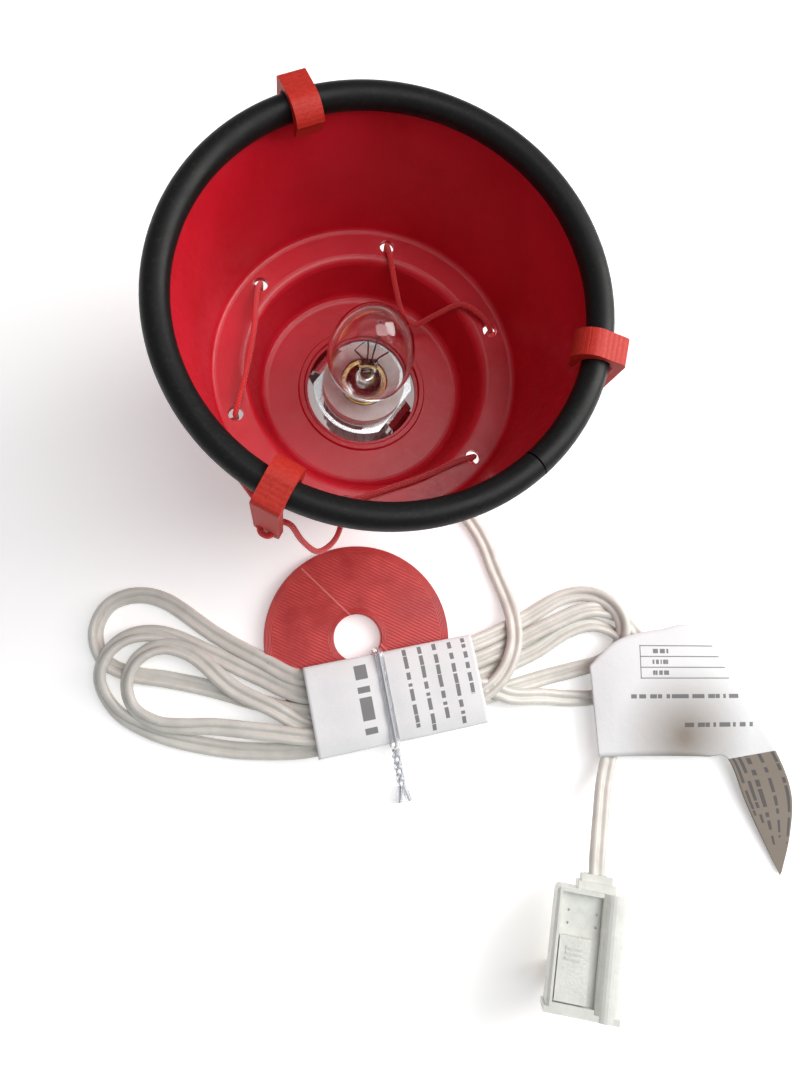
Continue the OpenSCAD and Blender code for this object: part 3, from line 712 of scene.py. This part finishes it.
def outer_points(k):
    az = HOOK_AZ[k]

    def strand(h, side, shape):
        turn = math.degrees(math.asin(EYE_D / EYE_R))
        start = polar(math.hypot(EYE_R, EYE_D), az + side * turn, EYE_H)
        return [start] + [polar(r, az + (h - az) * share, z) for share, r, z in shape]

    across = []
    for r, d in ((RIM_R + 5.8, EYE_D), (RIM_R + 7, 0.5 * EYE_D),
                 (RIM_R + 7, -0.5 * EYE_D), (RIM_R + 5.8, -EYE_D)):
        across.append(polar(math.hypot(r, d), az - math.degrees(math.atan2(d, r)), EYE_H))
    left = strand(HOOK_HOLES[k][0], -1, STRAND_CLOSE if k == 2 else STRAND_SLACK)
    right = strand(HOOK_HOLES[k][1], 1, STRAND_SLACK)
    return left[::-1] + across + right


# Heights where a strand ends in its lace hole and where it leaves the ledge
HOLE_FOOT, HOLE_TOP = 45.2, 47.4
INNER = [
    [hole(141.7, HOLE_FOOT), hole(141.7, HOLE_TOP), (-30, 19, 49.4), (-30.4, 8, 51), (-32, -3, 50.4),
     (-33.8, -11, 49), hole(201.7, HOLE_TOP), hole(201.7, HOLE_FOOT)],
    [hole(81.7, HOLE_FOOT), hole(81.7, HOLE_TOP), (6.2, 32.4, 48.8), (8.2, 26, 44.6),
     (11, 20.6, 39.4), (15, 18.6, 37.6), (20, 19.6, 42.4), (26, 20, 49.2),
     (31.6, 17, 49.4), hole(21.7, HOLE_TOP), hole(21.7, HOLE_FOOT)],
    [hole(321.7, HOLE_FOOT), hole(321.7, HOLE_TOP), (24, -25.2, 48.6), (15, -29.6, 48.6),
     (3, -34.2, 48.6), hole(261.7, HOLE_TOP), hole(261.7, HOLE_FOOT)]]


def make_lace(name, points):
    path = smooth_path(points, LACE_STEP)
    sides = carried_sides(path_tangents(path), (1, 0, 0.1))
    obj = swept(name, path, sides, round_section(LACE_CORD_R, 12))
    show(obj, LACE)
    return obj


for k in range(3):
    inner = make_lace("lace_inside_%d" % (k + 1), INNER[k])
    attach(inner, "root")
    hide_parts("lace_inner_%d" % (k + 1))
    outer = make_lace("lace_outside_%d" % (k + 1), outer_points(k))
    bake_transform(outer)
    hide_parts("lace_outer_%d" % (k + 1))

# ---------- label wrap, tie and tag ----------

HANK_MID = Vector((13.4, -88, 0))
HANK_AZ = math.radians(11.4)
HANK_U = Vector((math.cos(HANK_AZ), math.sin(HANK_AZ), 0))
HANK_V = Vector((-math.sin(HANK_AZ), math.cos(HANK_AZ), 0))
HANK_HALF = 26.3
HANK_LOW = 4.5
HANK_HIGH = 9.8
WRAP_V = 14.2
WRAP_SIDES = 56
# Print shows on the wrap only above this height
PRINT_FROM = 8.0
WRAP_OVERLAP_LIFT = 0.25
PAPER_T = 0.12
TIE_U = -3.0
TIE_W = 2.6
TIE_TAIL_W = 2.3
TIE_T = 0.16


def at_hank(u, v, z):
    return HANK_MID + HANK_U * u + HANK_V * v + Vector((0, 0, z))


def wrap_ring(u):
    """The paper's outline at u, pulled in by the tie and a little slack elsewhere."""
    pinch = 0.3 * math.exp(-((u - TIE_U) / 4.5) ** 2)
    ripple = 0.14 * math.sin(u * 0.37 + 0.6)
    mid = (HANK_LOW + HANK_HIGH) / 2
    half = (HANK_HIGH - HANK_LOW) / 2 + 0.1
    reach = WRAP_V - 0.6
    ring = []
    for k in range(WRAP_SIDES):
        a = math.tau * k / WRAP_SIDES
        c, s = math.cos(a), math.sin(a)
        square = (abs(c) ** 6 + abs(s) ** 6) ** (-1 / 6)
        v = reach * c * min(square, 1.12)
        z = mid + half * s * min(square, 1.0 / max(abs(s), 0.35))
        if z > mid:
            z += 0.35 + 0.15 * math.cos(v * 0.85 + 0.4) + ripple * (1 - abs(v) / 16) - pinch
        ring.append((v * (1 - 0.02 * pinch), max(z, HANK_LOW - 0.3)))
    return ring + ring[:1]


def make_wrap():
    rows = 54
    count = WRAP_SIDES + 1
    points, faces, uvs = [], [], []
    for i in range(rows + 1):
        u = -HANK_HALF + 2 * HANK_HALF * i / rows
        for k, (v, z) in enumerate(wrap_ring(u)):
            lift = WRAP_OVERLAP_LIFT * k / count
            points.append(at_hank(u, v + (lift if v > 0 else -lift) * 0.3, z + lift * (z > 7)))
            uvs.append((u, v))
    for i in range(rows):
        for k in range(count - 1):
            a = i * count + k
            faces.append((a, a + 1, a + count + 1, a + count))
    obj = mesh_piece("label_wrap_paper", points, faces, uvs)
    thicken(obj, PAPER_T)
    return obj


def wrap_paint():
    p = Paint("label_wrap_printed", (0.9, 0.9, 0.9))
    u, v, _ = p.split(p.coords.outputs["UV"])
    bold = bar_rows(p, v, u, [(-9.5, 1.9, -9.5, 12.5)], 5.1, 0.32)
    rows = [(4.6, 0.62, -10.5, 13), (9.4, 0.62, -12.4, 13), (14.0, 0.62, -9.6, 13),
            (18.8, 0.62, -12.2, 13), (23.2, 0.62, -4, 13)]
    fine = bar_rows(p, v, u, rows, 2.3, 0.62)
    height = p.split(p.coords.outputs["Object"])[2]
    on_top = p.math("GREATER_THAN", height, PRINT_FROM * MM)
    return paper(p, p.math("MULTIPLY", p.math("MAXIMUM", bold, fine), on_top))


def ribbon(name, path, sides, width):
    """A flat strip with a wire's ridge down the middle of both faces."""
    half, t = width / 2, TIE_T / 2
    foot, crest, ridge = 0.3, 0.25, t + 0.22
    upper = [(half, t), (foot, t), (crest, ridge), (-crest, ridge), (-foot, t), (-half, t)]
    section = [(-a, -b) for a, b in upper] + upper
    obj = swept(name, path, sides, section)
    layer = obj.data.uv_layers["UVMap"]
    for loop in obj.data.loops:
        k = loop.vertex_index % len(section)
        u = layer.data[loop.index].uv[0]
        layer.data[loop.index].uv = (u, (section[k][0] + half) / width)
    return obj


def make_tie():
    loop = []
    for v, z in ((-15.1, 3.2), (-15.0, 6.6), (-13.6, 9.9), (-10, 10.55), (-4, 10.6), (3, 10.5),
                 (10, 10.55), (13.8, 9.7), (15.0, 6), (14.9, 2.8), (12.6, 0.7), (6, 0.5),
                 (-6, 0.5), (-12.6, 0.7), (-15.1, 3.2)):
        loop.append(tuple(at_hank(TIE_U, v, z)))
    path = smooth_path(loop, 0.7)
    return ribbon("tie_band", path, [HANK_U] * len(path), TIE_W)


def make_tie_tail(name, phase):
    """One of the two ribbon ends, twisted round the other and then splayed."""
    path, sides = [], []
    steps = 60
    twists = 1.6
    splay_from = 0.72
    for i in range(steps + 1):
        t = i / steps
        along = -15.6 - 16.4 * t
        turn = phase + math.tau * twists * min(t / splay_from, 1)
        free = max(0.0, (t - splay_from) / (1 - splay_from))
        reach = 0.75 + 2.2 * free
        z = 4.4 - 2.6 * t
        u = TIE_U + reach * math.cos(turn)
        path.append(tuple(at_hank(u, along, z + 0.6 * math.sin(turn) + 0.9)))
        sides.append((HANK_U * math.sin(turn) - Vector((0, 0, 1)) * math.cos(turn)).normalized())
    return ribbon(name, path, sides, TIE_TAIL_W)


# The tag's long edges, point for point; it curls over past the sixth pair
TAG_UPPER = [(75, -79, 8), (84, -71, 9.2), (98, -67.4, 9.2), (112, -67.2, 9), (126, -88, 7.6),
             (138, -106, 5.5), (144, -120, 3), (143, -133, 2), (139.8, -144.5, 1)]
TAG_LOWER = [(77.4, -107, 6.8), (84, -107, 7), (94, -107, 7), (104, -107.2, 6.6),
             (114, -107.6, 6), (121.5, -108.5, 5), (127.5, -122, 3.2), (133, -133.5, 2),
             (139.2, -145.6, 0.9)]
TAG_CURL = 5 / 8
TAG_BOW = 1.1
TAG_LIFT = 0.15
# The small grid on the tag: its column and top rule, its rows, and how far right it runs
GRID_X, GRID_Y = 91.5, -72.6
GRID_ROW, GRID_ROWS = 3.4, 3
GRID_RIGHT = 122
LINE_HALF = 0.16
# Centre and radius of the painted shade over the tag's hollow middle
HOLLOW_SHADE_AT, HOLLOW_SHADE_R = (106, -101), 13


def make_tag():
    upper = dense_path(TAG_UPPER, 8)
    lower = dense_path(TAG_LOWER, 8)
    count = len(upper) - 1
    across = 22
    points, faces, uvs = [], [], []
    for i in range(count + 1):
        a, b = upper[i], lower[i]
        front = max(0.0, math.sin(math.pi * min(i / count / TAG_CURL, 1)))
        for j in range(across + 1):
            t = j / across
            x, y, z = [p + (q - p) * t for p, q in zip(a, b)]
            points.append((x, y, z + TAG_BOW * math.sin(math.pi * t) * front + TAG_LIFT))
            uvs.append((i / count, t))
    for i in range(count):
        for j in range(across):
            a = i * (across + 1) + j
            faces.append((a, a + across + 1, a + across + 2, a + 1))
    obj = mesh_piece("care_tag_paper", points, faces, uvs)
    thicken(obj, PAPER_T)
    return obj


def tag_paint():
    p = Paint("care_tag_printed", (0.9, 0.9, 0.9))
    x, y, _ = p.split(p.coords.outputs["Object"])
    x = p.math("MULTIPLY", x, 1 / MM)
    y = p.math("MULTIPLY", y, 1 / MM)
    along, across, _ = p.split(p.coords.outputs["UV"])
    curled = p.math("GREATER_THAN", along, TAG_CURL)
    # Rows of bars run along X; the grid stands near the top left
    rows = [(-88.5, 0.65, 88, 125), (-97.5, 0.7, 106, 130)]
    lines = bar_rows(p, x, y, rows, 1.9, 0.55)
    rules = [p.near(y, GRID_Y - GRID_ROW * k, LINE_HALF) for k in range(GRID_ROWS + 1)]
    rules.append(p.near(x, GRID_X, LINE_HALF))
    cells = [(GRID_Y - 1.7 - GRID_ROW * k, 0.7, 95.5, 101) for k in range(GRID_ROWS)]
    words = bar_rows(p, x, y, cells, 4.1, 1.3)
    grid_foot = GRID_Y - GRID_ROW * GRID_ROWS
    inside = p.math("MULTIPLY", p.between(x, GRID_X - 0.2, GRID_RIGHT),
                    p.between(y, grid_foot - 0.2, GRID_Y + 0.2))
    grid = p.math("MULTIPLY", any_of(p, rules + [words]), inside)
    front = p.math("MAXIMUM", grid, lines)
    # On the curled end the rows run down its length
    ends = [(0.08, 0.035, 0, 0.9), (0.36, 0.035, 0, 0.88), (0.62, 0.045, 0, 0.9),
            (0.78, 0.035, 0, 0.84), (0.9, 0.03, 0, 0.8)]
    back = bar_rows(p, along, across, ends, 0.7, 40)
    ink = p.mix(curled, p.tone(front), p.tone(back))
    # Painted shade darkens the paper over its hollow middle and, more strongly, on its curled end
    off_x = p.math("DIVIDE", p.math("SUBTRACT", x, HOLLOW_SHADE_AT[0]), HOLLOW_SHADE_R)
    off_y = p.math("DIVIDE", p.math("SUBTRACT", y, HOLLOW_SHADE_AT[1]), HOLLOW_SHADE_R)
    hollow_shade = p.fit(p.distance(off_x, off_y), 0.1, 1.8, 0.86, 0)
    return paper(p, ink, p.math("MAXIMUM", p.math("MULTIPLY", curled, 0.9), hollow_shade))


wrap = make_wrap()
show(wrap, wrap_paint())
tie = make_tie()
tails = [make_tie_tail("tie_tail_1", 0.4), make_tie_tail("tie_tail_2", 0.4 + math.pi)]
tag = make_tag()
show(tag, tag_paint())
for piece in [tie] + tails:
    show(piece, TIE)
    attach(piece, "root")
for piece in (wrap, tag):
    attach(piece, "root")
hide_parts("label_wrap")
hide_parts("twist_tie")
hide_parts("care_tag")

# ---------- floor and light ----------

FLOOR_HALF, FLOOR_Z = 4000, -0.05


def make_floor():
    corners = [(FLOOR_HALF * i, FLOOR_HALF * j, FLOOR_Z) for i, j in ((-1, -1), (1, -1), (1, 1), (-1, 1))]
    floor = mesh_piece("floor", corners, [(0, 1, 2, 3)])
    p = Paint("pale_floor", (0.9, 0.9, 0.895), 0.8, Emission_Strength=0.3)
    p.set("Emission Color", (1.0, 1.0, 1.0))
    show(floor, p)


def area_light(name, at, towards, size, power, colour=(1, 1, 1)):
    data = bpy.data.lights.new(name, "AREA")
    data.shape = "RECTANGLE"
    data.size, data.size_y = size
    data.energy = power
    data.color = colour
    lamp = bpy.data.objects.new(name, data)
    lamp.location = Vector(at) * MM
    lamp.rotation_euler = (Vector(towards) - Vector(at)).to_track_quat("-Z", "Y").to_euler()
    bpy.context.scene.collection.objects.link(lamp)


make_floor()
area_light("window", (480, 130, 400), (0, 0, 40), (0.45, 0.45), 3.8, (1.0, 0.985, 0.96))
area_light("fill", (-420, -520, 640), (20, -60, 0), (0.9, 0.9), 0.4, (0.95, 0.97, 1.0))
area_light("top", (230, -20, 850), (10, -60, 0), (0.6, 0.6), 3.6)
world = bpy.data.worlds.new("studio")
world.use_nodes = True
background = world.node_tree.nodes["Background"]
background.inputs["Color"].default_value = (0.95, 0.97, 1.0, 1)
background.inputs["Strength"].default_value = 0.26
bpy.context.scene.world = world
bpy.context.scene.view_settings.view_transform = "Standard"
